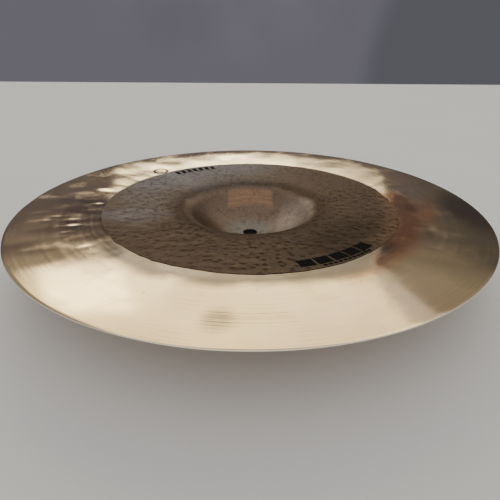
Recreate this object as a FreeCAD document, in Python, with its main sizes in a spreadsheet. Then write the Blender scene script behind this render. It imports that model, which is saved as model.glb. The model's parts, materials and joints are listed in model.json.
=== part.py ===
import FreeCAD, Part
import math
import os

import Sketcher

# Crash cymbal of 14 inches, in millimetres.
#
# The cymbal lies on its bell with its hollow side up: +Z is the axis of the hole and points out
# of the hollow side, and the origin is on that axis at the lowest level of the bell. The disc is
# one casting, so it is one body. From the hole outwards its section is a spherical bell, a
# rounded lip, a hammered raw bow at full wall, and a lathed ring that is thinner on both sides.
# The printed marks are films of ink that lie on the hollow side, face to face with the bronze.

DIMENSIONS = [
    ("rim_radius", 177.8, "half of 14 inches"),
    ("edge_wall", 0.7, "wall at the edge, which is half round"),
    ("ring_wall", 0.8, "wall of the lathed ring at its inner end"),
    ("ring_slope", 4.5, "degrees, slope of the lathed ring"),
    ("lathe_step", 0.25, "drop from the raw skin to the lathed ring"),
    ("raw_radius", 120.0, "outer radius of the raw bow"),
    ("raw_height", 34.2, "its hollow side's height there, above the bottom of the bell"),
    ("raw_slope", 5.5, "degrees, slope of the raw bow"),
    ("core_wall", 1.2, "wall of the raw bow and the bell"),
    ("bell_radius", 68.5, "sphere inside the bell"),
    ("lip_radius", 23.0, "rounding between the bell and the raw bow, hollow side"),
    ("hole_radius", 6.35, "half of the half-inch hole"),
    ("hole_chamfer", 0.2, "deburring of the hole, both sides"),
    ("ink_film", 0.05, "thickness of the printed ink"),
    ("block_inner", 107.4, "row of five blocks: inner radius"),
    ("block_outer", 116.0, "row of five blocks: outer radius"),
    ("block_start", -75.6, "degrees, azimuth where the row begins"),
    ("block_angle", 5.0, "degrees, width of one block"),
    ("block_pitch", 5.7, "degrees, from block to block"),
    ("dash_inner", 117.0, "row of dashes: inner radius"),
    ("dash_outer", 118.9, "row of dashes: outer radius"),
    ("dash_start", -69.2, "degrees, azimuth where the row begins"),
    ("dash_angle", 1.25, "degrees, width of one dash"),
    ("dash_pitch", 1.7, "degrees, from dash to dash"),
    ("bar_inner", 108.5, "row of bars on the far side: inner radius"),
    ("bar_outer", 116.5, "row of bars on the far side: outer radius"),
    ("bar_start", 112.0, "degrees, azimuth where the row begins"),
    ("bar_angle", 2.2, "degrees, width of one bar"),
    ("bar_pitch", 3.6, "degrees, from bar to bar"),
    ("loop_radius", 8.0, "outline ring beside the bars: outer radius"),
    ("loop_stroke", 2.2, "width of its line"),
    ("loop_azimuth", 140.0, "degrees, azimuth of its centre"),
    ("loop_inner", 120.6, "inner radius of the patch that it is cut from"),
    ("loop_outer", 137.4, "outer radius of the patch that it is cut from"),
    ("loop_angle", 7.8, "degrees, width of that patch"),
]
BLOCKS = 5
DASHES = 11
BARS = 7

os.makedirs("parts", exist_ok=True)
doc = FreeCAD.newDocument("crash_cymbal")


def make_sheet():
    """The driving dimensions, one to a row, each with an alias."""
    sheet = doc.addObject("Spreadsheet::Sheet", "Dims")
    for row, (alias, value, note) in enumerate(DIMENSIONS, start=1):
        sheet.set(f"A{row}", alias)
        sheet.set(f"B{row}", str(value))
        sheet.set(f"C{row}", note)
        sheet.setAlias(f"B{row}", alias)
    doc.recompute()
    return sheet


dims = make_sheet()


def dim(alias):
    """A driving dimension as a plain number."""
    return float(dims.get(alias))


def along(point, direction, distance):
    """The point at a distance from another, in a direction given in degrees."""
    angle = math.radians(direction)
    return (point[0] + distance * math.cos(angle), point[1] + distance * math.sin(angle))


def on_raw(radius):
    """Height of the raw bow's hollow side at a radius."""
    return dim("raw_height") + (radius - dim("raw_radius")) * math.tan(math.radians(dim("raw_slope")))


def on_ring(radius):
    """Height of the lathed ring's hollow side at a radius."""
    start = dim("raw_height") - dim("lathe_step")
    return start + (radius - dim("raw_radius")) * math.tan(math.radians(dim("ring_slope")))


# How a film of ink lies: the height of the skin, its slope, and its level at raw_radius.
RAW_SKIN = (on_raw, "raw_slope", "Dims.raw_height")
RING_SKIN = (on_ring, "ring_slope", "Dims.raw_height - Dims.lathe_step")


def section_points():
    """Corners and centres of the disc's half section, by name, as (radius, height)."""
    raw_slope = dim("raw_slope")
    ring_slope = dim("ring_slope")
    core = dim("core_wall")
    edge = dim("edge_wall") / 2
    hole = dim("hole_radius")
    cut = dim("hole_chamfer")
    raw = dim("raw_radius")
    inside = dim("bell_radius")
    lip = dim("lip_radius")

    bell = (0.0, math.sqrt((inside + core) ** 2 - (hole + cut) ** 2))
    rim = dim("rim_radius") - edge
    edge_centre = (rim, on_ring(rim) - edge / math.cos(math.radians(ring_slope)))
    ring_end = along(edge_centre, 90 + ring_slope, edge)
    ring_start = (raw, on_ring(raw))
    raw_end = (raw, on_raw(raw))

    # The lip's centre lies one lip radius below the raw bow, where it also touches the bell.
    below = along(raw_end, raw_slope - 90, lip)
    offset = (below[0] - bell[0], below[1] - bell[1])
    inward = (math.cos(math.radians(raw_slope)), math.sin(math.radians(raw_slope)))
    reach = offset[0] * inward[0] + offset[1] * inward[1]
    rest = offset[0] ** 2 + offset[1] ** 2 - (inside + lip) ** 2
    lip_centre = along(below, raw_slope, math.sqrt(reach**2 - rest) - reach)
    to_lip = math.degrees(math.atan2(lip_centre[1] - bell[1], lip_centre[0] - bell[0]))

    return {
        "bell": bell,
        "lip": lip_centre,
        "edge": edge_centre,
        "hole_low": (hole, cut),
        "hole_high": (hole, bell[1] - math.sqrt(inside**2 - (hole + cut) ** 2) - cut),
        "bell_start": (hole + cut, bell[1] - math.sqrt(inside**2 - (hole + cut) ** 2)),
        "bell_end": along(bell, to_lip, inside),
        "lip_end": along(lip_centre, 90 + raw_slope, lip),
        "raw_end": raw_end,
        "ring_start": ring_start,
        "ring_end": ring_end,
        "ring_below": along(edge_centre, ring_slope - 90, edge),
        "step_below": (raw, ring_start[1] - dim("ring_wall")),
        "raw_below": (raw, raw_end[1] - core / math.cos(math.radians(raw_slope))),
        "lip_below": along(lip_centre, 90 + raw_slope, lip - core),
        "bell_below": along(bell, to_lip, inside + core),
        "bell_bottom": (hole + cut, 0.0),
    }


def sketch_on(body, name, role):
    """A sketch on one of the body's own planes. On XZ_Plane, across is radius and up is height."""
    sketch = body.newObject("Sketcher::SketchObject", name)
    plane = next(item for item in body.Origin.OriginFeatures if item.Role == role)
    sketch.AttachmentSupport = [(plane, "")]
    sketch.MapMode = "FlatFace"
    return sketch


def vector(point):
    return FreeCAD.Vector(point[0], point[1], 0)


def line(sketch, start, end):
    return sketch.addGeometry(Part.LineSegment(vector(start), vector(end)), False)


def arc(sketch, centre, start, end):
    """The arc that runs anticlockwise from start to end."""
    radius = math.dist(centre, start)
    first = math.atan2(start[1] - centre[1], start[0] - centre[0])
    last = math.atan2(end[1] - centre[1], end[0] - centre[0])
    circle = Part.Circle(vector(centre), FreeCAD.Vector(0, 0, 1), radius)
    return sketch.addGeometry(Part.ArcOfCircle(circle, first, last), False)


def drive(sketch, kind, geometry, formula, value, axis_name):
    """Adds a dimension to a sketch and binds it to the sheet."""
    index = sketch.addConstraint(Sketcher.Constraint(kind, *geometry, value))
    sketch.renameConstraint(index, axis_name)
    sketch.setExpression(f"Constraints.{axis_name}", formula)


def draw_section(sketch):
    """The closed half section of the disc, constrained and bound to the sheet."""
    start, end, centre = 1, 2, 3
    origin, radius_axis, height_axis = -1, -1, -2
    p = section_points()

    hole = line(sketch, p["hole_low"], p["hole_high"])
    deburr = line(sketch, p["hole_high"], p["bell_start"])
    bell = arc(sketch, p["bell"], p["bell_start"], p["bell_end"])
    lip = arc(sketch, p["lip"], p["lip_end"], p["bell_end"])
    raw = line(sketch, p["lip_end"], p["raw_end"])
    step = line(sketch, p["raw_end"], p["ring_start"])
    ring = line(sketch, p["ring_start"], p["ring_end"])
    edge = arc(sketch, p["edge"], p["ring_below"], p["ring_end"])
    ring_back = line(sketch, p["ring_below"], p["step_below"])
    step_back = line(sketch, p["step_below"], p["raw_below"])
    raw_back = line(sketch, p["raw_below"], p["lip_below"])
    lip_back = arc(sketch, p["lip"], p["lip_below"], p["bell_below"])
    bell_back = arc(sketch, p["bell"], p["bell_bottom"], p["bell_below"])
    deburr_back = line(sketch, p["bell_bottom"], p["hole_low"])

    corners = [
        (hole, end, deburr, start),
        (deburr, end, bell, start),
        (raw, end, step, start),
        (step, end, ring, start),
        (ring_back, end, step_back, start),
        (step_back, end, raw_back, start),
        (bell_back, start, deburr_back, start),
        (deburr_back, end, hole, start),
        (bell_back, centre, bell, centre),
        (lip_back, centre, lip, centre),
    ]
    smooth = [
        (bell, end, lip, end),
        (lip, start, raw, start),
        (ring, end, edge, end),
        (edge, start, ring_back, start),
        (raw_back, end, lip_back, start),
        (lip_back, end, bell_back, end),
    ]
    for pair in corners:
        sketch.addConstraint(Sketcher.Constraint("Coincident", *pair))
    for pair in smooth:
        sketch.addConstraint(Sketcher.Constraint("Tangent", *pair))
    for upright in (hole, step, step_back):
        sketch.addConstraint(Sketcher.Constraint("Vertical", upright))
    sketch.addConstraint(Sketcher.Constraint("Parallel", raw, raw_back))
    sketch.addConstraint(Sketcher.Constraint("PointOnObject", bell, centre, height_axis))
    sketch.addConstraint(Sketcher.Constraint("PointOnObject", bell_back, start, radius_axis))
    sketch.addConstraint(Sketcher.Constraint("Vertical", bell, start, bell_back, start))
    sketch.addConstraint(Sketcher.Constraint("Vertical", raw, end, ring_back, end))

    cut = dim("hole_chamfer")
    edge_radius = dim("edge_wall") / 2
    rim = dim("rim_radius") - edge_radius
    driven = [
        ("DistanceX", (origin, 1, hole, start), "Dims.hole_radius", dim("hole_radius"), "hole_size"),
        ("DistanceX", (deburr, start, deburr, end), "Dims.hole_chamfer", cut, "deburr_width"),
        ("DistanceY", (deburr, start, deburr, end), "Dims.hole_chamfer", cut, "deburr_height"),
        ("DistanceY", (deburr_back, start, deburr_back, end), "Dims.hole_chamfer", cut, "deburr_under"),
        ("Radius", (bell,), "Dims.bell_radius", dim("bell_radius"), "bell_inside"),
        ("Radius", (bell_back,), "Dims.bell_radius + Dims.core_wall",
         dim("bell_radius") + dim("core_wall"), "bell_outside"),
        ("Radius", (lip,), "Dims.lip_radius", dim("lip_radius"), "lip_inside"),
        ("Angle", (raw,), "Dims.raw_slope * 1 deg", math.radians(dim("raw_slope")), "raw_tilt"),
        ("Angle", (ring,), "Dims.ring_slope * 1 deg", math.radians(dim("ring_slope")), "ring_tilt"),
        ("DistanceX", (origin, 1, raw, end), "Dims.raw_radius", dim("raw_radius"), "raw_size"),
        ("DistanceY", (step, end, step, start), "Dims.lathe_step", dim("lathe_step"), "step_drop"),
        ("DistanceY", (ring_back, end, ring, start), "Dims.ring_wall", dim("ring_wall"), "ring_wall"),
        ("Radius", (edge,), "Dims.edge_wall / 2", edge_radius, "edge_round"),
        ("DistanceX", (origin, 1, edge, centre), "Dims.rim_radius - Dims.edge_wall / 2", rim, "rim_size"),
        ("DistanceY", (origin, 1, raw, end), "Dims.raw_height", dim("raw_height"), "raw_rise"),
    ]
    for kind, geometry, formula, value, name in driven:
        drive(sketch, kind, geometry, formula, value, name)
    return sketch


def revolve(body, sketch, name, angle_formula=None):
    """A revolution of a sketch about the body's Z axis, a full turn unless a formula is given."""
    turned = body.newObject("PartDesign::Revolution", name)
    turned.Profile = sketch
    turned.ReferenceAxis = (sketch, ["V_Axis"])
    turned.Angle = 360
    if angle_formula:
        turned.setExpression("Angle", angle_formula)
    return turned


def make_disc():
    """The bronze disc: its half section turned about the axis of the hole."""
    body = doc.addObject("PartDesign::Body", "cymbal_disc")
    body.Label = "cymbal_disc"
    section = draw_section(sketch_on(body, "disc_section", "XZ_Plane"))
    revolve(body, section, "disc_turned")
    return body


def draw_film(sketch, stem, lie):
    """A thin parallelogram of ink along the section, from the stem's inner to its outer radius."""
    height, slope, rise = lie
    film = dim("ink_film")
    inner = dim(f"{stem}_inner")
    outer = dim(f"{stem}_outer")
    corners = [
        (inner, height(inner)),
        (outer, height(outer)),
        (outer, height(outer) + film),
        (inner, height(inner) + film),
    ]
    sides = [line(sketch, corners[i], corners[(i + 1) % 4]) for i in range(4)]
    bottom, outer_end, top, inner_end = sides
    for i in range(4):
        sketch.addConstraint(Sketcher.Constraint("Coincident", sides[i], 2, sides[(i + 1) % 4], 1))
    for upright in (outer_end, inner_end):
        sketch.addConstraint(Sketcher.Constraint("Vertical", upright))
    sketch.addConstraint(Sketcher.Constraint("Parallel", bottom, top))
    level = f"{rise} + (Dims.{stem}_inner - Dims.raw_radius) * tan(Dims.{slope} * 1 deg)"
    tilt = math.radians(dim(slope))
    drive(sketch, "DistanceX", (-1, 1, bottom, 1), f"Dims.{stem}_inner", inner, "inner_end")
    drive(sketch, "DistanceX", (-1, 1, bottom, 2), f"Dims.{stem}_outer", outer, "outer_end")
    drive(sketch, "DistanceY", (outer_end, 1, outer_end, 2), "Dims.ink_film", film, "film")
    drive(sketch, "Angle", (bottom,), f"Dims.{slope} * 1 deg", tilt, "tilt")
    drive(sketch, "DistanceY", (-1, 1, bottom, 1), level, height(inner), "level")
    return sketch


def ink_body(name, azimuth):
    """An empty body for printed ink, turned about +Z to the azimuth that the sheet gives."""
    body = doc.addObject("PartDesign::Body", name)
    body.Label = name
    body.AllowCompound = True
    body.Placement.Rotation = FreeCAD.Rotation(FreeCAD.Vector(0, 0, 1), dim(azimuth))
    body.setExpression("Placement.Rotation.Angle", f"Dims.{azimuth} * 1 deg")
    return body


def make_row(name, stem, count):
    """A row of equal printed bars on the raw bow: one bar turned, then repeated round the axis."""
    body = ink_body(name, f"{stem}_start")
    section = draw_film(sketch_on(body, f"{name}_section", "XZ_Plane"), stem, RAW_SKIN)
    first = revolve(body, section, f"{name}_first", f"Dims.{stem}_angle")
    doc.recompute()
    row = body.newObject("PartDesign::PolarPattern", f"{name}_row")
    row.Originals = [first]
    row.Axis = (section, ["V_Axis"])
    row.Occurrences = count
    row.setExpression("Angle", f"Dims.{stem}_pitch * {count - 1}")
    body.Tip = row
    return body


def make_loop(name):
    """A plain printed ring on the lathed ring: a patch of film with its outside and middle cut off."""
    body = ink_body(name, "loop_azimuth")
    section = draw_film(sketch_on(body, f"{name}_section", "XZ_Plane"), "loop", RING_SKIN)
    patch = revolve(body, section, f"{name}_patch", "Dims.loop_angle")
    patch.Midplane = True
    doc.recompute()

    outline = sketch_on(body, f"{name}_outline", "XY_Plane")
    middle = (dim("loop_inner") + dim("loop_outer")) / 2
    circles = [
        ("clear", "Dims.loop_outer - Dims.loop_inner", dim("loop_outer") - dim("loop_inner")),
        ("outside", "Dims.loop_radius", dim("loop_radius")),
        ("inside", "Dims.loop_radius - Dims.loop_stroke", dim("loop_radius") - dim("loop_stroke")),
    ]
    for label, formula, radius in circles:
        round_line = Part.Circle(vector((middle, 0)), FreeCAD.Vector(0, 0, 1), radius)
        circle = outline.addGeometry(round_line, False)
        outline.addConstraint(Sketcher.Constraint("PointOnObject", circle, 3, -1))
        drive(outline, "Radius", (circle,), formula, radius, label)
        drive(outline, "DistanceX", (-1, 1, circle, 3), "(Dims.loop_inner + Dims.loop_outer) / 2",
              middle, f"{label}_middle")
    cut = body.newObject("PartDesign::Pocket", f"{name}_cut")
    cut.Profile = outline
    cut.Type = "ThroughAll"
    cut.Reversed = True
    doc.recompute()
    if not 0 < body.Shape.Volume < patch.Shape.Volume:
        raise RuntimeError(f"{name}: the cut removed nothing")
    return body


def check(nodes):
    """Stops if any object failed or any node's shape is missing or invalid."""
    doc.recompute()
    for item in doc.Objects:
        bad = {"Invalid", "Error"} & set(item.State)
        if bad:
            raise RuntimeError(f"{item.Name}: {sorted(bad)}")
    for node in nodes:
        shape = node.Shape
        if shape.isNull() or not shape.isValid() or shape.Volume <= 0:
            raise RuntimeError(f"{node.Label}: shape is missing or invalid")
        box = shape.BoundBox
        print(f"{node.Label}: {len(shape.Solids)} solids, {shape.Volume:.2f} mm3,"
              f" z {box.ZMin:.3f} to {box.ZMax:.3f}")


disc = make_disc()
rows = [
    make_row("ink_block_row", "block", BLOCKS),
    make_row("ink_dash_row", "dash", DASHES),
    make_row("ink_bar_row", "bar", BARS),
]
nodes = [disc, *rows, make_loop("ink_loop")]
check(nodes)
for node in nodes:
    node.Shape.exportStep(f"parts/{node.Label}.step")
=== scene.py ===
import json
import math

import bpy
import numpy as np
from mathutils import Matrix, Vector


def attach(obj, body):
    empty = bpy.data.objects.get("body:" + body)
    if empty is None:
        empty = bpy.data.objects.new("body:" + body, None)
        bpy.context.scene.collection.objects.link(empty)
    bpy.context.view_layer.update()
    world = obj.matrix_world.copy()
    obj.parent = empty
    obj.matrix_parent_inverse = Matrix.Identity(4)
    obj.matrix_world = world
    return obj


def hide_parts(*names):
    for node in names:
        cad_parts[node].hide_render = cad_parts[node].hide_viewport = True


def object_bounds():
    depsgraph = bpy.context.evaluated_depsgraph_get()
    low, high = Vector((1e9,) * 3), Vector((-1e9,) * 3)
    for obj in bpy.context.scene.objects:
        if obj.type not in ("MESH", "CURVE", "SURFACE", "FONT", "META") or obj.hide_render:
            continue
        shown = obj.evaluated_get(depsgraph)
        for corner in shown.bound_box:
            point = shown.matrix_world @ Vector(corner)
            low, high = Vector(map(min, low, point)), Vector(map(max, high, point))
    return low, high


# A hammered crash cymbal, lying on its bell with its hollow side up.
# Everything is in metres, in the CAD frame: +Z is the axis of the hole, z = 0 the bell's bottom.

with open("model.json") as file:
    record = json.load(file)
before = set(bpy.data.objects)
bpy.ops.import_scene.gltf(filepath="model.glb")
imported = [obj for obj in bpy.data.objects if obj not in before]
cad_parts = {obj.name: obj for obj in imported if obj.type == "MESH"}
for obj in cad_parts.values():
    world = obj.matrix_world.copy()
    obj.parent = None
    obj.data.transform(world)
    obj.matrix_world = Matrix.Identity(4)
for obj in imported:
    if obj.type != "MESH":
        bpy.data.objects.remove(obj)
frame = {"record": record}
CAD_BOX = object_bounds()
MM = 0.001

# ---------------------------------------------------------------- the section, as the CAD has it
RIM_RADIUS = CAD_BOX[1].x
RIM_HEIGHT = CAD_BOX[1].z
HOLE_RADIUS = frame["record"]["mounts"][0]["dims"]["r_mm"] * MM
HOLE_CUT = 0.2 * MM
CORE_WALL = 1.2 * MM
BELL_RADIUS = 68.5 * MM
LIP_RADIUS = 23.0 * MM
BELL_MOUTH = 56.0 * MM
RAW_RADIUS = 120.0 * MM
RAW_HEIGHT = 34.2 * MM
RAW_SLOPE = math.radians(5.5)
RING_SLOPE = math.radians(4.5)
RING_WALL = 0.8 * MM
EDGE_ROUND = 0.35 * MM
LATHE_STEP = 0.25 * MM
EDGE_DROP = 0.26 * MM
EDGE_DROP_START = 150.0 * MM
# Where the edge of the raw zone has a notch or a tongue: azimuth in degrees, reach, width.
NOTCHES = [
    (-141.5, -1.5 * MM, 1.6 * MM),
    (-136.0, 0.7 * MM, 2.5 * MM),
    (59.8, 1.1 * MM, 2.2 * MM),
    (66.0, -0.8 * MM, 3.0 * MM),
    (108.5, 0.9 * MM, 1.8 * MM),
    (84.0, 0.8 * MM, 2.0 * MM),
    (-118.0, 0.7 * MM, 2.2 * MM),
    (-20.0, -0.8 * MM, 3.0 * MM),
    (12.0, 0.9 * MM, 3.0 * MM),
]
# How far from the edge of the raw zone the section follows its ragged line.
RAGGED_REACH = 2.2 * MM
# How far hammering keeps to its own side of that edge, as a share of its radius.
ZONE_GAP = 0.0001
# Where the ring has hardly any hammer marks: x, y and reach.
CALM_PATCHES = [(-122 * MM, -41 * MM, 17 * MM), (-133 * MM, 46 * MM, 24 * MM)]
# Dark specks on the near side of the ring: azimuth in degrees, distance from the axis.
SPECKS = [(-85.7, 127.3 * MM), (-88.5, 135.8 * MM), (-110.0, 149 * MM), (-66.0, 140 * MM)]

# ---------------------------------------------------------------- mesh density
SPOKES = 540
HOLLOW_STEP = 1.5 * MM
BACK_STEP = 3.6 * MM
INK_STEP = 0.7 * MM
EDGE_ARCS = 4
SHARP_ABOVE = math.radians(30)

SEED = 4

# ---------------------------------------------------------------- the studio's panels
WARM = (1.0, 0.98, 0.80)
COOL = (1.0, 1.02, 1.05)
# The corners' azimuth and rise, clockwise from the upper left, the depth of the soft edges, all in
# degrees, the brightness and the tint. Each panel covers the ones before it.
PANELS = [
    ([(-38.5, 52), (-20, 52), (-20, 36), (-38.5, 36)], 0.8, 1.9, WARM),
    ([(-39, 37), (-19, 37), (-19, 23.8), (-39, 26.0)], 0.8, 2.0, WARM),
    ([(-35, 31), (-21.5, 31), (-19.5, 24.0), (-35, 26.6)], 1.3, 5.8, WARM),
    ([(20, 50), (70, 42.6), (22.0, 23.7), (15, 23.7)], 0.4, 0.85, COOL),
    ([(7, 51), (55.8, 45.9), (18.0, 22.7), (7, 22.7)], 0.4, 2.2, WARM),
    ([(-25, 51), (12.5, 51), (8.5, 21.8), (-20.5, 21.8)], 0.8, 2.35, WARM),
    ([(-22.5, 31), (-16, 30.5), (-13.5, 24), (-22, 24)], 1.2, 3.0, WARM),
    ([(-21.5, 25), (-13, 25), (-13, 21.2), (-21.5, 21.2)], 1.0, 3.3, WARM),
    ([(3, 24.5), (21.7, 24.5), (20.9, 21.5), (3, 21.5)], 0.5, 2.3, WARM),
    ([(-16, 25), (1, 25), (1, 21.5), (-16, 21.5)], 0.6, 5.6, WARM),
    ([(0, 25), (7, 25), (7, 21.5), (0, 21.5)], 0.8, 4.2, WARM),
]


# ================================================================ section geometry
def direction(angle):
    """A vector of length 1 at an angle, in a plane."""
    return np.array([math.cos(angle), math.sin(angle)])


def section_anchors():
    """The bell's centre, the lip's centre and the direction from one to the other."""
    bell_height = math.sqrt((BELL_RADIUS + CORE_WALL) ** 2 - (HOLE_RADIUS + HOLE_CUT) ** 2)
    bell = np.array([0.0, bell_height])
    raw_end = np.array([RAW_RADIUS, RAW_HEIGHT])
    below = raw_end + LIP_RADIUS * direction(RAW_SLOPE - math.pi / 2)
    reach = (below - bell) @ direction(RAW_SLOPE)
    rest = (below - bell) @ (below - bell) - (BELL_RADIUS + LIP_RADIUS) ** 2
    lip = below + direction(RAW_SLOPE) * (math.sqrt(reach**2 - rest) - reach)
    towards = math.atan2(lip[1] - bell[1], lip[0] - bell[0])
    return bell, lip, towards


def arc_points(centre, radius, first, last, step):
    """Points along an arc, at about the given spacing, both ends included."""
    count = max(2, round(abs(last - first) * radius / step) + 1)
    angles = np.linspace(first, last, count)
    return np.stack([centre[0] + radius * np.cos(angles), centre[1] + radius * np.sin(angles)], 1)


def line_points(start, end, step):
    """Points along a straight line, at about the given spacing, both ends included."""
    count = max(2, round(np.linalg.norm(end - start) / step) + 1)
    return start + (end - start) * np.linspace(0, 1, count)[:, None]


def join(*runs):
    """One run of points out of several that meet end to end."""
    return np.concatenate([runs[0]] + [run[1:] for run in runs[1:]])


def half_section(side):
    """Two runs of points, from hole to step and from step to edge, on the hollow side or the back."""
    bell, lip, towards = section_anchors()
    hollow = side == "hollow"
    step = HOLLOW_STEP if hollow else BACK_STEP
    wall = 0.0 if hollow else CORE_WALL
    radius = BELL_RADIUS + wall
    first = math.acos((HOLE_RADIUS + HOLE_CUT) / radius)
    lip_end = lip + (LIP_RADIUS - wall) * direction(RAW_SLOPE + math.pi / 2)
    raw_end = np.array([RAW_RADIUS, RAW_HEIGHT - wall / math.cos(RAW_SLOPE)])
    core = join(
        arc_points(bell, radius, -first, towards, step),
        arc_points(lip, LIP_RADIUS - wall, towards + math.pi, RAW_SLOPE + math.pi / 2, step),
        line_points(lip_end, raw_end, step),
    )
    edge = edge_centre()
    tilt = math.pi / 2 if hollow else -math.pi / 2
    ring_start = np.array([RAW_RADIUS, RAW_HEIGHT - LATHE_STEP - (0.0 if hollow else RING_WALL)])
    ring_end = edge + EDGE_ROUND * direction(RING_SLOPE + tilt)
    return core, line_points(ring_start, ring_end, step)


def edge_centre():
    """The centre of the round of the rim's edge."""
    return np.array([RIM_RADIUS - EDGE_ROUND, RIM_HEIGHT - EDGE_ROUND])


# ================================================================ hammering
class Dents:
    """A set of hammer dents, each with a place, a width outward and along the ring, and a depth."""

    def __init__(self, places, outward, along, depths):
        self.places = places
        self.outward = outward
        self.along = along
        self.depths = depths
        self.away = places / np.linalg.norm(places, axis=1)[:, None]

    def depth_at(self, points):
        """How deep the dents are at an (n, 2) array of points, as an (n,) array."""
        total = np.zeros(len(points))
        for first in range(0, len(points), 4096):
            gap = points[first:first + 4096][:, None, :] - self.places[None, :, :]
            out = (gap * self.away[None, :, :]).sum(2)
            side = gap[..., 1] * self.away[None, :, 0] - gap[..., 0] * self.away[None, :, 1]
            far = (out / self.outward) ** 2 + (side / self.along) ** 2
            total[first:first + 4096] = (np.exp(-far) * self.depths[None, :]).sum(1)
        return total


def rings_of_dents(rng, inner, outer, spacing, jitter, width, depth, stretch=1.0):
    """Dents in uneven rings, as a hammer leaves them: width and depth are (mean, spread).

    `stretch` is how many times as wide a dent is outward as along the ring.
    """
    places = []
    for radius in np.arange(inner, outer, spacing):
        count = int(2 * math.pi * radius / spacing)
        angles = (np.arange(count) + rng.random()) * 2 * math.pi / count
        angles = angles + rng.normal(0, jitter, count) / radius
        radii = radius + rng.normal(0, jitter, count)
        places.append(np.stack([radii * np.cos(angles), radii * np.sin(angles)], 1))
    places = np.concatenate(places)
    widths = np.clip(rng.normal(*width, len(places)), width[0] * 0.5, None)
    depths = np.clip(rng.normal(*depth, len(places)), 0, None)
    return Dents(places, widths * stretch, widths, depths)


def raw_dents(rng):
    """The small dense marks of the raw bow."""
    return rings_of_dents(rng, inner=64 * MM, outer=118 * MM, spacing=7.0 * MM, jitter=1.8 * MM,
                          width=(2.4 * MM, 0.5 * MM), depth=(0.10 * MM, 0.05 * MM))


def bell_dents(rng):
    """A few faint marks inside the bell."""
    return rings_of_dents(rng, inner=18 * MM, outer=50 * MM, spacing=12 * MM, jitter=3 * MM,
                          width=(2.6 * MM, 0.6 * MM), depth=(0.03 * MM, 0.02 * MM))


def sheet_dents(rng):
    """The broad marks of the raw bow, which bent the sheet on both of its sides."""
    return rings_of_dents(rng, inner=66 * MM, outer=116 * MM, spacing=11 * MM, jitter=3.4 * MM,
                          width=(4.2 * MM, 1.0 * MM), depth=(0.22 * MM, 0.10 * MM))


def ring_dents(rng):
    """The long soft marks of the lathed ring, deepest on the left, which the lathe half removed."""
    dents = rings_of_dents(rng, inner=126 * MM, outer=174 * MM, spacing=12 * MM, jitter=4.0 * MM,
                           width=(4.2 * MM, 1.6 * MM), depth=(0.095 * MM, 0.060 * MM), stretch=2.0)
    azimuth = np.arctan2(dents.places[:, 1], dents.places[:, 0])
    distance = np.hypot(dents.places[:, 0], dents.places[:, 1])
    left = 0.5 + 0.5 * np.cos(azimuth - math.radians(184))
    worn = np.clip((distance - 148 * MM) / (22 * MM), 0, 1)
    dents.depths = dents.depths * (0.08 + 0.92 * left**10) * (1 - 0.7 * worn)
    for calm_x, calm_y, reach in CALM_PATCHES:
        away = np.hypot(dents.places[:, 0] - calm_x, dents.places[:, 1] - calm_y) / reach
        dents.depths = dents.depths * np.clip(away**2, 0, 1)
    return dents


def stray_dent():
    """One plain dent on its own, on the ring at the right."""
    place = 141 * MM * direction(math.radians(-29))
    outward, along, depth = 2.2 * MM, 7.5 * MM, 0.14 * MM
    return Dents(place[None, :], np.array([outward]), np.array([along]), np.array([depth]))


class Swell:
    """A smooth random unevenness of the sheet: a sum of long waves, each with its own direction."""

    def __init__(self, rng, longest, shortest, slope, count):
        lengths = np.geomspace(longest, shortest, count)
        turns = rng.uniform(0, 2 * math.pi, count)
        self.waves = np.stack([np.cos(turns), np.sin(turns)]) * 2 * math.pi / lengths
        self.phases = rng.uniform(0, 2 * math.pi, count)
        self.sizes = slope * lengths / (2 * math.pi) * math.sqrt(2 / count)

    def height_at(self, points):
        return (np.sin(points @ self.waves + self.phases) * self.sizes).sum(1)


class Bend:
    """How far hammering and turning bent the whole sheet down, the same on both of its sides."""

    def __init__(self, rng):
        self.ring = ring_dents(rng)
        self.stray = stray_dent()
        self.raw = sheet_dents(rng)
        self.swell = Swell(rng, longest=80 * MM, shortest=26 * MM, slope=0.009, count=14)

    def depth_at(self, points):
        radius = np.hypot(points[:, 0], points[:, 1])
        azimuth = np.arctan2(points[:, 1], points[:, 0])
        left = 0.5 - 0.5 * np.cos(azimuth)
        swell = self.swell.height_at(points) * (0.35 + 0.65 * left**2)
        swell = swell * np.clip((radius - BELL_MOUTH) / (12 * MM), 0, 1)
        # The ring flattens a little towards its edge.
        outer = np.clip((radius - EDGE_DROP_START) / (RIM_RADIUS - EDGE_DROP_START), 0, 1)
        drop = EDGE_DROP * outer**3
        on_ring = radius > RAW_RADIUS
        struck = self.ring.depth_at(points) * np.where(on_ring, 1.0, 0.3) + self.stray.depth_at(points)
        raw = self.raw.depth_at(points) * np.where(on_ring, 0.0, 0.25 + 0.75 * left)
        return struck + raw + swell * np.where(on_ring, 1.0, 0.5) + drop


class Peening:
    """The small marks sunk into one side of the raw centre, as a depth along its normal."""

    def __init__(self, rng):
        self.raw = raw_dents(rng)
        self.bell = bell_dents(rng)

    def depth_at(self, points):
        radius = np.hypot(points[:, 0], points[:, 1])
        return (self.raw.depth_at(points) + self.bell.depth_at(points)) * (radius < RAW_RADIUS)


def ragged(angles, rng):
    """How far the edge of the raw zone strays from its circle at each angle."""
    total = np.zeros(len(angles))
    for waves in (3, 7, 13, 29, 61, 97):
        total += 0.26 * MM / waves**0.3 * np.sin(waves * angles + rng.uniform(0, 2 * math.pi))
    for middle, size, width in NOTCHES:
        gap = np.angle(np.exp(1j * (angles - math.radians(middle))))
        total += size * np.exp(-(gap * RAW_RADIUS / width) ** 2)
    return total


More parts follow.
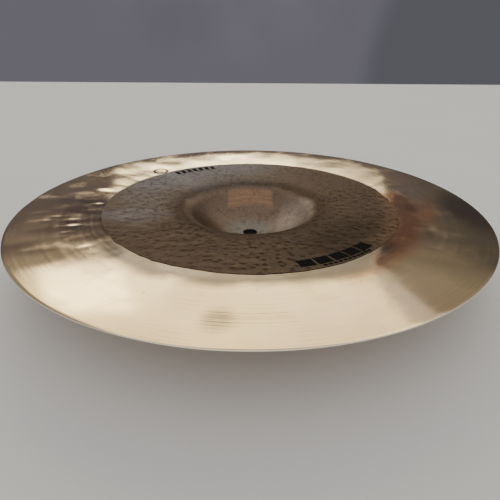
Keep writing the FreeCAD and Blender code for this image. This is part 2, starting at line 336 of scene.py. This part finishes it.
# ================================================================ meshes
def make_object(name, vertices, faces):
    mesh = bpy.data.meshes.new(name)
    mesh.from_pydata(vertices, [], faces)
    mesh.validate()
    mesh.shade_smooth()
    mesh.set_sharp_from_angle(angle=SHARP_ABOVE)
    piece = bpy.data.objects.new(name, mesh)
    bpy.context.scene.collection.objects.link(piece)
    return piece


def loop_of_section():
    """The closed section as rings: (radius, height, normal, side, zone) for each, in order."""
    hollow_core, hollow_ring = half_section("hollow")
    back_core, back_ring = half_section("back")
    edge = edge_centre()
    angles = np.linspace(RING_SLOPE + math.pi / 2, RING_SLOPE - math.pi / 2, EDGE_ARCS + 2)[1:-1]
    rounded = edge + EDGE_ROUND * np.stack([np.cos(angles), np.sin(angles)], 1)
    runs = [
        (hollow_core, 1, "core"),
        (hollow_ring, 1, "ring"),
        (rounded, 0, "edge"),
        (back_ring[::-1], -1, "ring"),
        (back_core[::-1], -1, "core"),
        (np.array([[HOLE_RADIUS, HOLE_CUT]]), 0, "hole"),
        (np.array([[HOLE_RADIUS, hollow_core[0][1] - HOLE_CUT]]), 0, "hole"),
    ]
    rings = []
    for points, side, zone in runs:
        slope = np.gradient(points, axis=0) if len(points) > 1 else np.array([[0.0, 1.0]])
        normal = np.stack([-slope[:, 1], slope[:, 0]], 1)
        normal = normal / np.linalg.norm(normal, axis=1)[:, None]
        rings += [(p, n, side, zone) for p, n in zip(points, normal)]
    return rings


def disc_mesh(bend, peening):
    """The whole disc as one closed skin: every ring of the section, turned and hammered.

    The last result is the zone on each side of every row of faces.
    """
    angles = np.arange(SPOKES) * 2 * math.pi / SPOKES
    stray = {1: ragged(angles, np.random.default_rng(SEED + 1)),
             -1: ragged(angles, np.random.default_rng(SEED + 2))}
    rings = loop_of_section()
    vertices = []
    for point, normal, side, zone in rings:
        radius = np.full(SPOKES, point[0])
        height = np.full(SPOKES, point[1])
        flat = radius[:, None] * np.stack([np.cos(angles), np.sin(angles)], 1)
        if side:
            near_step = np.exp(-((point[0] - RAW_RADIUS) / RAGGED_REACH) ** 2)
            slope = RAW_SLOPE if zone == "core" else RING_SLOPE
            radius = radius + stray[side] * near_step
            height = height + stray[side] * near_step * math.tan(slope)
            flat = np.stack([radius * np.cos(angles), radius * np.sin(angles)], 1)
            if zone == "core":
                flat = flat * np.minimum(1, RAW_RADIUS * (1 - ZONE_GAP) / radius)[:, None]
            else:
                flat = flat * np.maximum(1, RAW_RADIUS * (1 + ZONE_GAP) / radius)[:, None]
            sunk = peening[side].depth_at(flat)
            radius = radius - sunk * normal[0]
            height = height - sunk * normal[1]
        height = height - bend.depth_at(flat)
        vertices.append(np.stack([radius * np.cos(angles), radius * np.sin(angles), height], 1))
    count = len(rings)
    index = np.arange(count * SPOKES).reshape(count, SPOKES)
    nxt = np.roll(index, -1, axis=0)
    faces = np.stack([index, np.roll(index, -1, axis=1), np.roll(nxt, -1, axis=1), nxt], 2)
    zones = [(rings[i][3], rings[(i + 1) % count][3]) for i in range(count)]
    return np.concatenate(vertices), faces.reshape(-1, 4), zones


def make_disc(bend, peening):
    """The disc, raw wherever a face touches the centre or the hole, and lathed elsewhere."""
    vertices, faces, zones = disc_mesh(bend, peening)
    disc = make_object("hammered_disc", vertices.tolist(), faces[:, ::-1].tolist())
    disc.data.materials.append(raw_bronze())
    disc.data.materials.append(lathed_bronze())
    lathed = np.array([0 if "core" in pair or "hole" in pair else 1 for pair in zones])
    disc.data.polygons.foreach_set("material_index", np.repeat(lathed, SPOKES).astype(np.int32))
    return disc


def film(name, patches, sunk, level):
    """Printed ink, as closed patches of film that follow the hammered skin.

    A patch is a grid of (x, y). `level` gives the skin's height at a radius, and `sunk` how far the
    hammering lowered it at each point.
    """
    lift = 0.06 * MM
    vertices = []
    faces = []
    for points in patches:
        rows, columns = points.shape[:2]
        flat = points.reshape(-1, 2)
        radius = np.hypot(flat[:, 0], flat[:, 1])
        height = level(radius) - sunk(flat)
        start = sum(len(part) for part in vertices)
        size = rows * columns
        vertices.append(np.column_stack([flat, height + lift]))
        vertices.append(np.column_stack([flat, height - lift]))
        index = np.arange(size).reshape(rows, columns) + start
        under = index + size
        for i in range(rows - 1):
            for j in range(columns - 1):
                quad = [index[i, j], index[i, j + 1], index[i + 1, j + 1], index[i + 1, j]]
                low = [under[i, j], under[i + 1, j], under[i + 1, j + 1], under[i, j + 1]]
                faces += [quad[::-1], low[::-1]]
        border = (
            [(i, 0) for i in range(rows)]
            + [(rows - 1, j) for j in range(1, columns)]
            + [(i, columns - 1) for i in range(rows - 2, -1, -1)]
            + [(0, j) for j in range(columns - 2, 0, -1)]
        )
        for a, b in zip(border, border[1:] + border[:1]):
            faces.append([index[a], index[b], under[b], under[a]][::-1])
    piece = make_object(name, np.concatenate(vertices).tolist(), [list(map(int, f)) for f in faces])
    piece.data.materials.append(printed_ink())
    return piece


# ================================================================ materials
class Nodes:
    """A short way to write the nodes of a material or of the studio's world."""

    def __init__(self, owner, shader):
        owner.use_nodes = True
        self.owner = owner
        self.tree = owner.node_tree
        self.shader = self.tree.nodes[shader]

    def add(self, kind, inputs=None, **settings):
        node = self.tree.nodes.new(kind)
        for key, value in settings.items():
            setattr(node, key, value)
        for key, value in (inputs or {}).items():
            self.put(node.inputs[key], value)
        return node

    def put(self, socket, value):
        if isinstance(value, bpy.types.NodeSocket):
            self.tree.links.new(value, socket)
        else:
            socket.default_value = value

    def set(self, **values):
        """Constants and other nodes' results, straight into the shader's own sockets."""
        for name, value in values.items():
            self.put(self.shader.inputs[name.replace("_", " ")], value)

    def math(self, operation, a, b=0.0):
        return self.add("ShaderNodeMath", {0: a, 1: b}, operation=operation).outputs[0]

    def product(self, *factors):
        result = factors[0]
        for factor in factors[1:]:
            result = self.math("MULTIPLY", result, factor)
        return result

    def total(self, *terms):
        result = terms[0]
        for term in terms[1:]:
            result = self.math("ADD", result, term)
        return result

    def length(self, vector):
        return self.add("ShaderNodeVectorMath", {0: vector}, operation="LENGTH").outputs["Value"]

    def dot(self, a, b):
        return self.add("ShaderNodeVectorMath", {0: a, 1: b}, operation="DOT_PRODUCT").outputs["Value"]

    def noise(self, vector, scale, detail=3.0, rough=0.5):
        node = self.add("ShaderNodeTexNoise", {"Vector": vector, "Scale": scale, "Detail": detail,
                                               "Roughness": rough})
        return node.outputs["Fac"]

    def remap(self, value, low, high, out_low, out_high, smooth=False):
        node = self.add("ShaderNodeMapRange", {"Value": value, "From Min": low, "From Max": high,
                                               "To Min": out_low, "To Max": out_high})
        node.interpolation_type = "SMOOTHSTEP" if smooth else "LINEAR"
        return node.outputs["Result"]

    def fade(self, value, start, end):
        """1 up to start and 0 from end on, with a smooth change between."""
        return self.remap(value, start, end, 1.0, 0.0, smooth=True)

    def grow(self, value, start, end):
        """0 up to start and 1 from end on, with a smooth change between."""
        return self.remap(value, start, end, 0.0, 1.0, smooth=True)

    def mix(self, factor, a, b):
        node = self.add("ShaderNodeMix", data_type="RGBA")
        self.put(node.inputs["Factor"], factor)
        self.put(node.inputs["A"], a)
        self.put(node.inputs["B"], b)
        return node.outputs["Result"]

    def bump(self, height, distance, strength=1.0, normal=None):
        inputs = {"Height": height, "Distance": distance, "Strength": strength}
        if normal is not None:
            inputs["Normal"] = normal
        return self.add("ShaderNodeBump", inputs).outputs["Normal"]

    def place(self):
        """The point on the object, the same without its height, and its distance from the axis."""
        point = self.add("ShaderNodeTexCoord").outputs["Object"]
        parts = self.add("ShaderNodeSeparateXYZ", {0: point})
        flat = self.add("ShaderNodeCombineXYZ", {0: parts.outputs[0], 1: parts.outputs[1]}).outputs[0]
        return point, flat, self.length(flat)

    def strayed(self, radius, noise, reach):
        """A distance from the axis that a noise shifts in and out, for edges that aren't round."""
        return self.math("ADD", radius, self.product(self.math("SUBTRACT", noise, 0.5), reach))

    def rings(self, radius, pitch, detail=2.0):
        """Noise that changes only with the distance from the axis, as turned grooves do."""
        turned = self.math("DIVIDE", radius, pitch)
        node = self.add("ShaderNodeTexNoise", {"W": turned, "Scale": 1.0, "Detail": detail},
                        noise_dimensions="1D")
        return node.outputs["Fac"]

    def spot(self, flat, azimuth, distance, out, along, inner=0.0, twist=0.0):
        """A soft oval spot, 1 within the share `inner` of its size and 0 at its edge.

        Its middle is at an azimuth in degrees and a distance from the axis. Its half sizes are `out`
        from the axis and `along` the ring, and `twist` turns it, in degrees.
        """
        turn = math.radians(azimuth)
        local = self.add("ShaderNodeMapping", {
            "Vector": flat,
            "Location": (distance * math.cos(turn), distance * math.sin(turn), 0),
            "Rotation": (0, 0, turn + math.radians(twist)),
            "Scale": (out, along, 1),
        }, vector_type="TEXTURE")
        return self.fade(self.length(local.outputs[0]), inner, 1.0)

    def sweep(self, flat, azimuth, reach, soft):
        """1 within an angle of an azimuth, 0 beyond it, with a soft edge: all in degrees."""
        turn = math.radians(azimuth)
        away = self.add("ShaderNodeVectorMath", {0: flat}, operation="NORMALIZE").outputs[0]
        towards = self.dot(away, (math.cos(turn), math.sin(turn), 0))
        outer, inner = math.radians(reach + soft), math.radians(reach - soft)
        return self.grow(towards, math.cos(outer), math.cos(inner))

    def pits(self, flat, pitch, size):
        """Round hammer marks scattered at about the given pitch, 1 in their middle."""
        node = self.add("ShaderNodeTexVoronoi", {"Vector": flat, "Scale": 1 / pitch},
                        voronoi_dimensions="2D")
        return self.fade(node.outputs["Distance"], 0.0, size / pitch)


def material(name):
    return Nodes(bpy.data.materials.new(name), "Principled BSDF")


def colour(red, green, blue):
    return (red, green, blue, 1.0)


# ---------------------------------------------------------------- the lathed ring
def polished_metal(n, point, patch, bands, smudge):
    """Bare bronze: warm, in broad patches of yellow and pink, banded by the lathe and smudged."""
    base = n.mix(patch, colour(0.77, 0.55, 0.30), colour(0.83, 0.60, 0.35))
    yellow = n.remap(n.noise(point, 11.0, 3.0, 0.6), 0.42, 0.62, 0.0, 0.7, smooth=True)
    base = n.mix(yellow, base, colour(0.80, 0.605, 0.30))
    pink = n.remap(n.noise(point, 17.0, 3.0, 0.6), 0.50, 0.66, 0.0, 0.6, smooth=True)
    base = n.mix(pink, base, colour(0.70, 0.50, 0.34))
    base = n.mix(n.product(bands, 0.35), base, colour(0.72, 0.50, 0.27))
    return n.mix(n.product(smudge, 0.20), base, colour(0.48, 0.34, 0.20))


def lathe_marks(n, base, flat, lines, held):
    """Lines left by the lathe, most on the near side, one dark smudge across them and a few specks."""
    near = n.spot(flat, -88.0, 155 * MM, 30 * MM, 62 * MM, 0.3)
    drawn = n.product(lines, held, n.remap(near, 0, 1, 0.2, 0.75))
    base = n.mix(drawn, base, colour(0.22, 0.17, 0.11))
    rubbed = n.spot(flat, -94.8, 160 * MM, 13 * MM, 11 * MM, 0.2)
    base = n.mix(n.product(rubbed, n.remap(lines, 0, 1, 0.45, 1.0)), base, colour(0.07, 0.055, 0.04))
    for azimuth, distance in SPECKS:
        speck = n.spot(flat, azimuth, distance, 1.1 * MM, 0.9 * MM)
        base = n.mix(n.product(speck, 0.6), base, colour(0.16, 0.11, 0.07))
    return base


def heat_tints_and_shade(n, base, flat, wavy, patch):
    """The ring's tints: orange, red and brown that heat left at the right and brown at the left, a dark
    brown next to the raw zone at the near right, and a painted shade over the outer right.
    """
    patchy = n.remap(patch, 0.3, 0.6, 0.7, 1.0)
    scorch = n.product(n.sweep(flat, -30.0, 38.0, 6.0), n.fade(wavy, 130 * MM, 144 * MM))
    base = n.mix(n.product(scorch, patchy, 0.95), base, colour(0.62, 0.28, 0.11))
    deep = n.product(n.sweep(flat, -56.0, 11.0, 7.0), n.fade(wavy, 121 * MM, 138 * MM))
    base = n.mix(n.product(deep, 0.95), base, colour(0.085, 0.048, 0.028))
    # Painted shade: the outer right of the ring is painted dark brown.
    painted_shade = n.spot(flat, -12.0, 172 * MM, 26 * MM, 62 * MM, 0.3)
    base = n.mix(n.product(painted_shade, 0.85), base, colour(0.30, 0.18, 0.09))
    red = n.spot(flat, -10.0, 131 * MM, 7 * MM, 17 * MM, 0.2)
    base = n.mix(n.product(red, patchy, 0.7), base, colour(0.42, 0.17, 0.085))
    orange = n.spot(flat, -13.0, 142.5 * MM, 10 * MM, 44 * MM, 0.1, -12.0)
    orange = n.product(orange, n.remap(patch, 0.3, 0.6, 0.55, 1.0), 0.9)
    base = n.mix(orange, base, colour(1.0, 0.46, 0.16))
    brown = n.product(n.sweep(flat, -164.0, 13.0, 7.0),
                      n.remap(wavy, 133 * MM, 165 * MM, 1.0, 0.15, smooth=True))
    return n.mix(n.product(brown, 0.88), base, colour(0.27, 0.18, 0.12))


def oxide_rim(n, base, flat, radius, wavy):
    """The dark rim of oxide where the lathe stopped: widest on the near side, absent at the right."""
    wide = n.product(n.sweep(flat, -98.0, 42.0, 10.0), n.fade(wavy, 127 * MM, 138 * MM))
    elsewhere = n.remap(n.sweep(flat, -18.0, 30.0, 10.0), 0.0, 1.0, 1.0, 0.0)
    fringe = n.product(n.remap(radius, 120.3 * MM, 123.5 * MM, 0.7, 0.0, smooth=True), elsewhere)
    oxide = n.math("MAXIMUM", wide, fringe)
    return n.mix(n.product(oxide, 0.93), base, colour(0.100, 0.072, 0.048))


def lathed_bronze():
    """The bright outer ring: polished bronze with turned grooves, smudges, heat tints, oxide, a painted
    shade at the outer right and a painted highlight on the rim's edge.
    """
    n = material("lathed_bronze")
    point, flat, radius = n.place()
    grooves = n.rings(radius, 0.45 * MM)
    bands = n.rings(radius, 3.5 * MM, 3.0)
    lines = n.remap(n.rings(radius, 0.75 * MM, 1.0), 0.55, 0.68, 0.0, 1.0)
    patch = n.noise(point, 26.0, 4.0, 0.55)
    held = n.remap(n.noise(point, 30.0, 3.0), 0.45, 0.62, 0.0, 1.0)
    smudge = n.remap(n.noise(point, 60.0, 5.0, 0.6), 0.52, 0.72, 0.0, 1.0)
    edge = n.remap(radius, 177.1 * MM, 177.5 * MM, 0.0, 0.8)
    wavy = n.strayed(radius, patch, 16 * MM)

    base = polished_metal(n, point, patch, bands, smudge)
    base = lathe_marks(n, base, flat, lines, held)
    # Painted highlight: a pale line painted along the rim's rounded edge.
    base = n.mix(edge, base, colour(0.90, 0.80, 0.66))
    base = heat_tints_and_shade(n, base, flat, wavy, patch)
    base = oxide_rim(n, base, flat, radius, wavy)
    rough = n.total(n.remap(bands, 0.3, 0.7, 0.055, 0.085), n.product(smudge, 0.08),
                    n.product(n.sweep(flat, -105.0, 30.0, 15.0), 0.04), n.product(edge, 0.15))

    cut = n.product(grooves, n.remap(n.noise(point, 22.0, 2.0), 0.42, 0.62, 0.15, 1.0))
    normal = n.bump(cut, 0.005 * MM)
    normal = n.bump(n.product(lines, held), 0.008 * MM, 1.0, normal)
    normal = n.bump(n.noise(point, 420.0, 3.0, 0.6), 0.005 * MM, 1.0, normal)
    n.set(Base_Color=base, Metallic=1.0, Roughness=rough, Normal=normal)
    return n.owner


# ---------------------------------------------------------------- the raw centre
def peening_marks(n, point, flat, edge):
    """Small close hammer marks on the bow, and a few in the bell, each 1 in its middle."""
    large = n.pits(flat, 6.4 * MM, 2.6 * MM)
    moved = n.add("ShaderNodeVectorMath", {0: flat, 1: (0.31, 0.17, 0)}, operation="ADD").outputs[0]
    small = n.pits(moved, 3.1 * MM, 1.0 * MM)
    marks = n.product(n.math("MAXIMUM", large, n.product(small, 0.4)),
                      n.remap(n.noise(point, 30.0, 2.0), 0.38, 0.60, 0.40, 1.0))
    in_bell = n.remap(n.noise(point, 90.0, 2.0), 0.55, 0.62, 0.0, 0.35)
    return n.product(marks, n.math("MAXIMUM", n.grow(edge, 55 * MM, 63 * MM), in_bell))


def bow_skin(n, drawn, flat, radius, edge, patch):
    """Oxide on the bow, dark at the near right and scorched at the right, with a painted reflection that
    makes it cool and pale at the far left.
    """
    streak = n.noise(drawn, 9.0, 3.0, 0.6)
    skin = n.mix(patch, colour(0.050, 0.034, 0.025), colour(0.100, 0.071, 0.053))
    # Painted reflection: the far left of the bow is painted a pale cool grey.
    cool = n.product(n.spot(flat, 128.0, 92 * MM, 85 * MM, 130 * MM, 0.3),
                     n.remap(streak, 0.35, 0.6, 0.55, 1.0),
                     n.remap(edge, 74 * MM, 100 * MM, 0.35, 1.0, smooth=True))
    skin = n.mix(n.product(cool, 0.95), skin, colour(0.110, 0.106, 0.118))
    left = n.product(n.spot(flat, -172.0, 92 * MM, 34 * MM, 70 * MM, 0.2),
                     n.remap(streak, 0.35, 0.6, 0.5, 1.0))
    skin = n.mix(n.product(left, 0.7), skin, colour(0.125, 0.106, 0.106))
    bloom = n.product(n.remap(n.noise(drawn, 24.0, 3.0), 0.46, 0.68, 0.0, 0.6, smooth=True),
                      n.spot(flat, 165.0, 95 * MM, 60 * MM, 110 * MM, 0.4))
    skin = n.mix(bloom, skin, colour(0.145, 0.128, 0.150))
    dark = n.spot(flat, -46.0, 92 * MM, 32 * MM, 60 * MM, 0.2)
    skin = n.mix(n.product(dark, 0.75), skin, colour(0.042, 0.028, 0.019))
    scorch = n.product(n.sweep(flat, -20.0, 22.0, 12.0), n.grow(radius, 104 * MM, 119 * MM))
    return n.mix(n.product(scorch, 0.85), skin, colour(0.150, 0.088, 0.055))


def painted_reflection_patch(n, point, flat, radius, edge):
    """A painted reflection: a squarish orange patch on the bell's far wall, broken up in fine streaks."""
    across = n.math("ABSOLUTE", n.add("ShaderNodeSeparateXYZ", {0: flat}).outputs[0])
    shape = n.product(n.fade(across, 21 * MM, 24 * MM), n.sweep(flat, 91.0, 50.0, 5.0),
                      n.grow(edge, 36 * MM, 41 * MM), n.fade(radius, 51 * MM, 54 * MM))
    streak_space = n.add("ShaderNodeMapping", {"Vector": point, "Scale": (14, 14, 900)}).outputs[0]
    return n.product(shape, n.remap(n.noise(streak_space, 1.0, 3.0, 0.7), 0.35, 0.65, 0.3, 1.0))


def bell_skin(n, point, flat, radius, edge, patch):
    """Oxide inside the bell, grey towards the bottom and mottled, with painted light on the right wall
    and painted shade on the left wall.
    """
    skin = n.mix(patch, colour(0.17, 0.122, 0.092), colour(0.24, 0.175, 0.13))
    # Painted light: the bell's right wall is painted pale.
    pale = n.spot(flat, 0.0, 40 * MM, 26 * MM, 42 * MM, 0.2)
    skin = n.mix(n.product(pale, 0.8), skin, colour(0.38, 0.31, 0.27))
    bottom = n.fade(edge, 12 * MM, 30 * MM)
    skin = n.mix(n.product(bottom, 0.85), skin, colour(0.205, 0.188, 0.178))
    # Painted shade: the bell's left wall is painted dark.
    left_wall_shade = n.spot(flat, -158.0, 38 * MM, 22 * MM, 34 * MM, 0.2)
    skin = n.mix(n.product(left_wall_shade, 0.9), skin, colour(0.095, 0.062, 0.044))
    mottle = n.remap(n.noise(point, 150.0, 4.0, 0.7), 0.50, 0.66, 0.0, 0.45)
    skin = n.mix(mottle, skin, colour(0.085, 0.062, 0.050))
    # Painted reflection: an orange patch painted on the bell's far wall.
    painted_reflection = painted_reflection_patch(n, point, flat, radius, edge)
    return n.mix(n.product(painted_reflection, 0.8), skin, colour(0.40, 0.235, 0.13))


def raw_bronze():
    """The dark centre: oxide over peened bronze, paler and rougher inside the bell."""
    n = material("raw_bronze")
    point, flat, radius = n.place()
    drawn = n.add("ShaderNodeMapping", {"Vector": point, "Scale": (0.45, 1.5, 1.0)}).outputs[0]
    patch = n.noise(drawn, 34.0, 4.0, 0.6)
    grain = n.noise(point, 700.0, 3.0, 0.65)
    edge = n.strayed(radius, patch, 12 * MM)
    marks = peening_marks(n, point, flat, edge)

    bow = bow_skin(n, drawn, flat, radius, edge, patch)
    bell = bell_skin(n, point, flat, radius, edge, patch)
    base = n.mix(n.fade(edge, 52 * MM, 60 * MM), bow, bell)
    # Painted shade: the middles of the hammer marks are painted near black, besides their bump.
    base = n.mix(n.product(marks, 0.7), base, colour(0.012, 0.009, 0.007))
    base = n.mix(n.remap(grain, 0.35, 0.65, 0.0, 0.25), base, colour(0.03, 0.02, 0.013))
    rough = n.total(n.remap(patch, 0.3, 0.7, 0.30, 0.38), n.remap(grain, 0.3, 0.7, -0.03, 0.05),
                    n.product(n.fade(radius, 60 * MM, 76 * MM), 0.22))

    normal = n.bump(marks, -0.16 * MM)
    normal = n.bump(n.noise(point, 260.0, 4.0, 0.6), 0.04 * MM, 0.7, normal)
    normal = n.bump(grain, 0.03 * MM, 0.6, normal)
    n.set(Base_Color=base, Metallic=1.0, Specular_Tint=colour(0.60, 0.58, 0.58), Roughness=rough,
          Normal=normal)
    return n.owner


# ---------------------------------------------------------------- ink and paper
def printed_ink():
    """Flat black ink, a little worn through by the grain below."""
    n = material("printed_ink")
    point, _, _ = n.place()
    worn = n.remap(n.noise(point, 500.0, 4.0, 0.6), 0.58, 0.75, 0.0, 0.6)
    base = n.mix(worn, colour(0.004, 0.004, 0.004), colour(0.03, 0.022, 0.016))
    rough = n.remap(n.noise(point, 300.0), 0.3, 0.7, 0.5, 0.7)
    normal = n.bump(n.noise(point, 500.0), 0.02 * MM, 0.5)
    n.set(Base_Color=base, Specular_IOR_Level=0.02, Roughness=rough, Normal=normal)
    return n.owner


def pale_paper_and_hole_shadow():
    """The studio floor: pale paper, with a painted shadow where the hole looks down on it."""
    n = material("pale_floor")
    point, _, radius = n.place()
    paper = n.mix(n.noise(point, 6.0), colour(0.70, 0.69, 0.67), colour(0.73, 0.72, 0.70))
    # Painted shadow: the floor seen through the hole is painted near black.
    painted_shade = n.remap(radius, 9 * MM, 12 * MM, 1.0, 0.0)
    base = n.mix(painted_shade, paper, colour(0.003, 0.003, 0.003))
    n.set(Base_Color=base, Roughness=0.9, Specular_IOR_Level=0.1)
    return n.owner


# ================================================================ printed marks
def sector(inner, outer, start, width):
    """A grid of points over a sector, azimuths in degrees."""
    radii = np.linspace(inner, outer, max(2, int((outer - inner) / INK_STEP) + 1))
    across = math.radians(width) * outer
    angles = np.radians(np.linspace(start, start + width, max(2, int(across / INK_STEP) + 1)))
    return np.stack([radii[:, None] * np.cos(angles), radii[:, None] * np.sin(angles)], 2)


def row_of_sectors(inner, outer, start, width, pitch, count):
    """Equal sectors in a row round the axis: start, width and pitch in degrees."""
    return [sector(inner, outer, start + i * pitch, width) for i in range(count)]


def ring_halves(azimuth, distance, radius, stroke):
    """A plain ring, as two half rings that meet."""
    middle = distance * direction(math.radians(azimuth))
    halves = []
    for first in (0.0, math.pi):
        radii = np.linspace(radius - stroke, radius, 5)
        angles = np.linspace(first, first + math.pi, 33)
        across = middle[0] + radii[:, None] * np.cos(angles)
        along = middle[1] + radii[:, None] * np.sin(angles)
        halves.append(np.stack([across, along], 2))
    return halves


def raw_level(radius):
    """The height of the hollow side on the raw bow."""
    return RAW_HEIGHT + (radius - RAW_RADIUS) * math.tan(RAW_SLOPE)


def ring_level(radius):
    """The height of the hollow side on the lathed ring."""
    return RAW_HEIGHT - LATHE_STEP + (radius - RAW_RADIUS) * math.tan(RING_SLOPE)


def make_marks(sunk):
    """The four groups of printed marks, at the places of the CAD's ink."""
    blocks = row_of_sectors(107.4 * MM, 116.0 * MM, start=-75.6, width=5.0, pitch=5.7, count=5)
    dashes = row_of_sectors(117.0 * MM, 118.9 * MM, start=-69.2, width=1.25, pitch=1.7, count=11)
    bars = row_of_sectors(108.5 * MM, 116.5 * MM, start=112.0, width=2.2, pitch=3.6, count=7)
    loop = ring_halves(azimuth=140.0, distance=129.0 * MM, radius=8.0 * MM, stroke=2.2 * MM)
    marks = [
        ("block_mark", "ink_block_row", blocks, raw_level),
        ("dash_mark", "ink_dash_row", dashes, raw_level),
        ("bar_mark", "ink_bar_row", bars, raw_level),
        ("loop_mark", "ink_loop", loop, ring_level),
    ]
    for name, node, patches, level in marks:
        mark = film(name, patches, sunk, level)
        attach(mark, "root")
        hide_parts(node)


# ================================================================ studio
def make_floor():
    size = 6.0
    floor = make_object("floor", [(-size, -size, 0), (size, -size, 0), (size, size, 0), (-size, size, 0)],
                        [(0, 1, 2, 3)])
    floor.data.materials.append(pale_paper_and_hole_shadow())


def sky_direction(azimuth, rise):
    """A direction from the cymbal, azimuth 0 straight away from the camera, in degrees."""
    turn = math.radians(azimuth)
    lift = math.radians(rise)
    return Vector((math.cos(lift) * math.sin(turn), math.cos(lift) * math.cos(turn), math.sin(lift)))


class Studio(Nodes):
    """The world's nodes: walls and panels are picked out by their direction from the cymbal."""

    def __init__(self, world):
        super().__init__(world, "Background")
        self.direction = self.add("ShaderNodeTexCoord").outputs["Generated"]

    def lobe(self, azimuth, rise, inner, outer):
        """1 within `inner` degrees of a direction, and 0 beyond `outer`."""
        towards = self.dot(self.direction, sky_direction(azimuth, rise))
        return self.grow(towards, math.cos(math.radians(outer)), math.cos(math.radians(inner)))

    def panel(self, corners, soft):
        """1 inside a panel with straight sides and 0 outside it, with its edges `soft` degrees deep."""
        edge = math.radians(soft)
        inside = []
        for first, second in zip(corners, corners[1:] + corners[:1]):
            inward = sky_direction(*first).cross(sky_direction(*second)).normalized()
            inside.append(self.grow(self.dot(self.direction, inward), -edge, edge))
        return self.product(*inside)


def make_world():
    """Soft walls, dim beyond the cymbal and pale overhead and behind the viewer, and bright panels."""
    world = bpy.data.worlds.new("studio")
    bpy.context.scene.world = world
    n = Studio(world)
    height = n.add("ShaderNodeSeparateXYZ", {0: n.direction}).outputs[2]
    beyond = n.mix(n.grow(height, 0.36, 0.44), colour(0.14, 0.134, 0.157), colour(0.33, 0.32, 0.32))
    walls = n.mix(n.lobe(0.0, 10.0, 48.0, 75.0), colour(0.62, 0.61, 0.62), beyond)
    walls = n.mix(n.lobe(44.0, 0.0, 24.0, 28.5), walls, colour(0.098, 0.100, 0.115))
    walls = n.mix(n.lobe(180.0, 30.0, 20.0, 75.0), walls, colour(0.95, 0.93, 0.92))
    walls = n.mix(n.lobe(0.0, 90.0, 14.0, 44.0), walls, colour(1.0, 0.98, 0.97))
    for corners, soft, brightness, tint in PANELS:
        glow = colour(*[brightness * part for part in tint])
        walls = n.mix(n.panel(corners, soft), walls, glow)
    # Around the panels the light is a little uneven.
    cloud = n.remap(n.noise(n.direction, 5.0, 2.0), 0.3, 0.7, -0.14, 0.12)
    cloud = n.product(cloud, n.lobe(0.0, 36.0, 20.0, 40.0))
    n.set(Color=walls, Strength=n.math("ADD", cloud, 1.0))


def make_camera():
    """Close and wide, looking about 29 degrees down across the near rim."""
    distance = 276.1 * MM
    rise = math.radians(18.86)
    down = math.radians(29.15)
    roll = math.radians(0.38)
    data = bpy.data.cameras.new("camera")
    data.sensor_width = 36.0
    data.lens = 22.59
    data.clip_start = 0.005
    camera = bpy.data.objects.new("camera", data)
    bpy.context.scene.collection.objects.link(camera)
    camera.location = (0, -distance * math.cos(rise), RIM_HEIGHT + distance * math.sin(rise))
    turn = Matrix.Rotation(math.pi / 2 - down, 4, "X") @ Matrix.Rotation(roll, 4, "Z")
    camera.rotation_euler = turn.to_euler()
    bpy.context.scene.camera = camera


# ================================================================ making
bend = Bend(np.random.default_rng(SEED))
peening = {side: Peening(np.random.default_rng(SEED + 10 + side)) for side in (1, -1)}
disc = make_disc(bend, peening)
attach(disc, "root")
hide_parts("cymbal_disc")
make_marks(lambda points: bend.depth_at(points) + peening[1].depth_at(points))
make_floor()
make_world()
make_camera()
